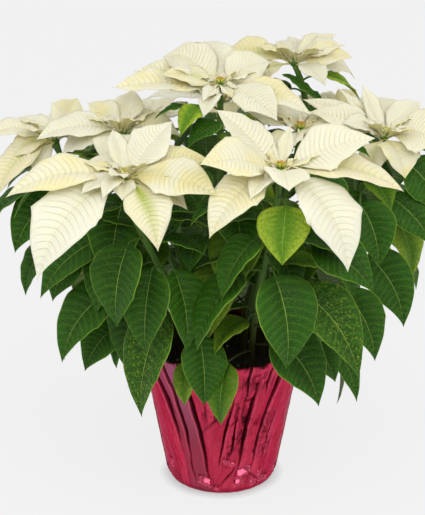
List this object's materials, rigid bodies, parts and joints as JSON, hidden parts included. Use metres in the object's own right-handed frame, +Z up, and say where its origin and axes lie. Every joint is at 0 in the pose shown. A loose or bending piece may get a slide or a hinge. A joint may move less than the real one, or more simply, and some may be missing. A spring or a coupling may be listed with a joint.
{
  "type": "potted poinsettia",
  "caption": "Cream poinsettia in full bloom: leafy stems under broad heads of pointed bracts, rooted in the soil of a round plastic pot wrapped in pleated red foil.",
  "frame": {"origin": "middle of the flat underside of the foil wrap, where the pot stands on a surface", "axes": "+Z up along the pot's axis; -Y towards the front, the side with the two lowest and largest heads; +X to the right seen from the front"},
  "size_m": [0.515, 0.4615, 0.4673],
  "materials": {
    "foil": "metallised film, glossy and crinkled",
    "grow_pot": "moulded polypropylene, satin",
    "soil": "damp peat and bark crumbs, matt",
    "foliage": "fresh leaves and green stems, waxy satin",
    "bracts": "fresh coloured leaves, soft matt",
    "cyathia": "fresh small flower cups, waxy"
  },
  "bodies": {
    "root": {"foil_wrap": "foil", "grow_pot": "grow_pot", "potting_soil": "soil", "stem_a": "foliage", "stem_b": "foliage", "stem_c": "foliage", "stem_d": "foliage", "stem_e": "foliage", "stem_f": "foliage", "stem_g": "foliage", "stem_h": "foliage", "stem_i": "foliage", "stem_j": "foliage", "stem_k": "foliage", "bracts_a": "bracts", "bracts_b": "bracts", "bracts_c": "bracts", "bracts_d": "bracts", "bracts_e": "bracts", "bracts_f": "bracts", "bracts_g": "bracts", "bracts_h": "bracts", "bracts_i": "bracts", "bracts_j": "bracts", "bracts_k": "bracts", "cyathia_a": "cyathia", "cyathia_b": "cyathia", "cyathia_c": "cyathia", "cyathia_d": "cyathia", "cyathia_e": "cyathia", "cyathia_f": "cyathia", "cyathia_g": "cyathia", "cyathia_h": "cyathia", "cyathia_i": "cyathia", "cyathia_j": "cyathia", "cyathia_k": "cyathia"}
  },
  "joints": []
}
